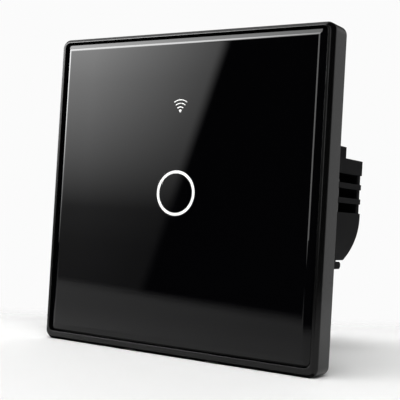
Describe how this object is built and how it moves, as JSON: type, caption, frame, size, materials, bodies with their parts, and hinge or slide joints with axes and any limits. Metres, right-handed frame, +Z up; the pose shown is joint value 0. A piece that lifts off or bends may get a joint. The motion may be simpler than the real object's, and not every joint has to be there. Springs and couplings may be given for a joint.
{
  "type": "touch light switch",
  "caption": "Square wall switch with a bevelled black glass touch plate in a black frame, a vented rear housing for the wall box, and screw terminals for the wires.",
  "frame": {"origin": "centre of the panel on the wall plane, which is the flange's back face", "axes": "+X to the right as seen from the room, +Y back into the wall, +Z up"},
  "size_m": [0.086, 0.0435, 0.086],
  "materials": {
    "black_glass": "polished, printed black on the back",
    "frame_plastic": "satin moulded black",
    "tape": "foam tape",
    "housing_plastic": "fine moulded grain",
    "terminal_plastic": "moulded",
    "circuit_board": "solder mask",
    "radio_board": "solder mask",
    "spring_steel": "plated wire",
    "clear_plastic": "milky",
    "white_print": "printed ring and symbol on the glass",
    "lamp_body": "resin",
    "chip_plastic": "moulded",
    "tinned_steel": "tinned",
    "zinc_steel": "zinc plated",
    "relay_plastic": "moulded",
    "bobbin_plastic": "moulded",
    "copper_wire": "enamelled winding",
    "soft_iron": "plated",
    "contact_brass": "plain",
    "ferrite": "sintered",
    "winding_tape": "polyester tape",
    "capacitor_sleeve": "shrunk sleeve",
    "film_case": "moulded",
    "varistor_coat": "dipped",
    "fuse_case": "moulded"
  },
  "bodies": {
    "base": {"base_plate": "housing_plastic", "touch_board": "circuit_board", "touch_spring": "spring_steel", "light_guide": "clear_plastic", "ring_leds": "lamp_body", "icon_led": "lamp_body", "icon_shade": "housing_plastic", "touch_chip": "chip_plastic", "wifi_board": "radio_board", "wifi_shield": "tinned_steel", "pin_header": "chip_plastic", "header_socket": "chip_plastic", "board_screws": "zinc_steel", "rear_housing": "housing_plastic", "power_board": "circuit_board", "relay_base": "chip_plastic", "relay_case": "relay_plastic", "relay_bobbin": "bobbin_plastic", "relay_coil": "copper_wire", "relay_core": "soft_iron", "relay_yoke": "soft_iron", "fixed_contact": "contact_brass", "transformer_core": "ferrite", "transformer_coil": "winding_tape", "bulk_capacitors": "capacitor_sleeve", "filter_capacitor": "film_case", "varistor": "varistor_coat", "fuse": "fuse_case", "rectifier": "chip_plastic", "power_chip": "chip_plastic", "terminal_block": "terminal_plastic", "busbars": "contact_brass"},
    "front_panel": {"glass_panel": "black_glass", "panel_frame": "frame_plastic", "glass_tape": "tape"},
    "armature": {"relay_armature": "soft_iron", "contact_blade": "contact_brass"},
    "live_screw": {"live_screw": "zinc_steel"},
    "live_cage": {"live_cage": "contact_brass"},
    "neutral_screw": {"neutral_screw": "zinc_steel"},
    "neutral_cage": {"neutral_cage": "contact_brass"},
    "lamp_screw": {"lamp_screw": "zinc_steel"},
    "lamp_cage": {"lamp_cage": "contact_brass"}
  },
  "joints": [
    {"name": "panel_pull", "type": "slide", "parent": "base", "child": "front_panel", "axis": [0, -1, 0], "range_m": [0, 0.03]},
    {"name": "armature_tilt", "type": "hinge", "parent": "base", "child": "armature", "pos_m": [0.02845, 0.02314, 0.0015], "axis": [0, 0, 1], "range_deg": [0, 2.4], "stiffness_Nm_per_rad": 0.02},
    {"name": "live_screw_turn", "type": "hinge", "parent": "base", "child": "live_screw", "pos_m": [-0.0082, 0.0241, -0.02], "axis": [0, -1, 0], "range_deg": [0, 1800]},
    {"name": "live_cage_rise", "type": "slide", "parent": "base", "child": "live_cage", "axis": [0, 1, 0], "range_m": [0, 0.0025]},
    {"name": "neutral_screw_turn", "type": "hinge", "parent": "base", "child": "neutral_screw", "pos_m": [0, 0.0241, -0.02], "axis": [0, -1, 0], "range_deg": [0, 1800]},
    {"name": "neutral_cage_rise", "type": "slide", "parent": "base", "child": "neutral_cage", "axis": [0, 1, 0], "range_m": [0, 0.0025]},
    {"name": "lamp_screw_turn", "type": "hinge", "parent": "base", "child": "lamp_screw", "pos_m": [0.0082, 0.0241, -0.02], "axis": [0, -1, 0], "range_deg": [0, 1800]},
    {"name": "lamp_cage_rise", "type": "slide", "parent": "base", "child": "lamp_cage", "axis": [0, 1, 0], "range_m": [0, 0.0025]}
  ],
  "couplings": [
    {"joint": "live_screw_turn", "follows": "live_cage_rise", "rad_per_m": 12566},
    {"joint": "neutral_screw_turn", "follows": "neutral_cage_rise", "rad_per_m": 12566},
    {"joint": "lamp_screw_turn", "follows": "lamp_cage_rise", "rad_per_m": 12566}
  ]
}
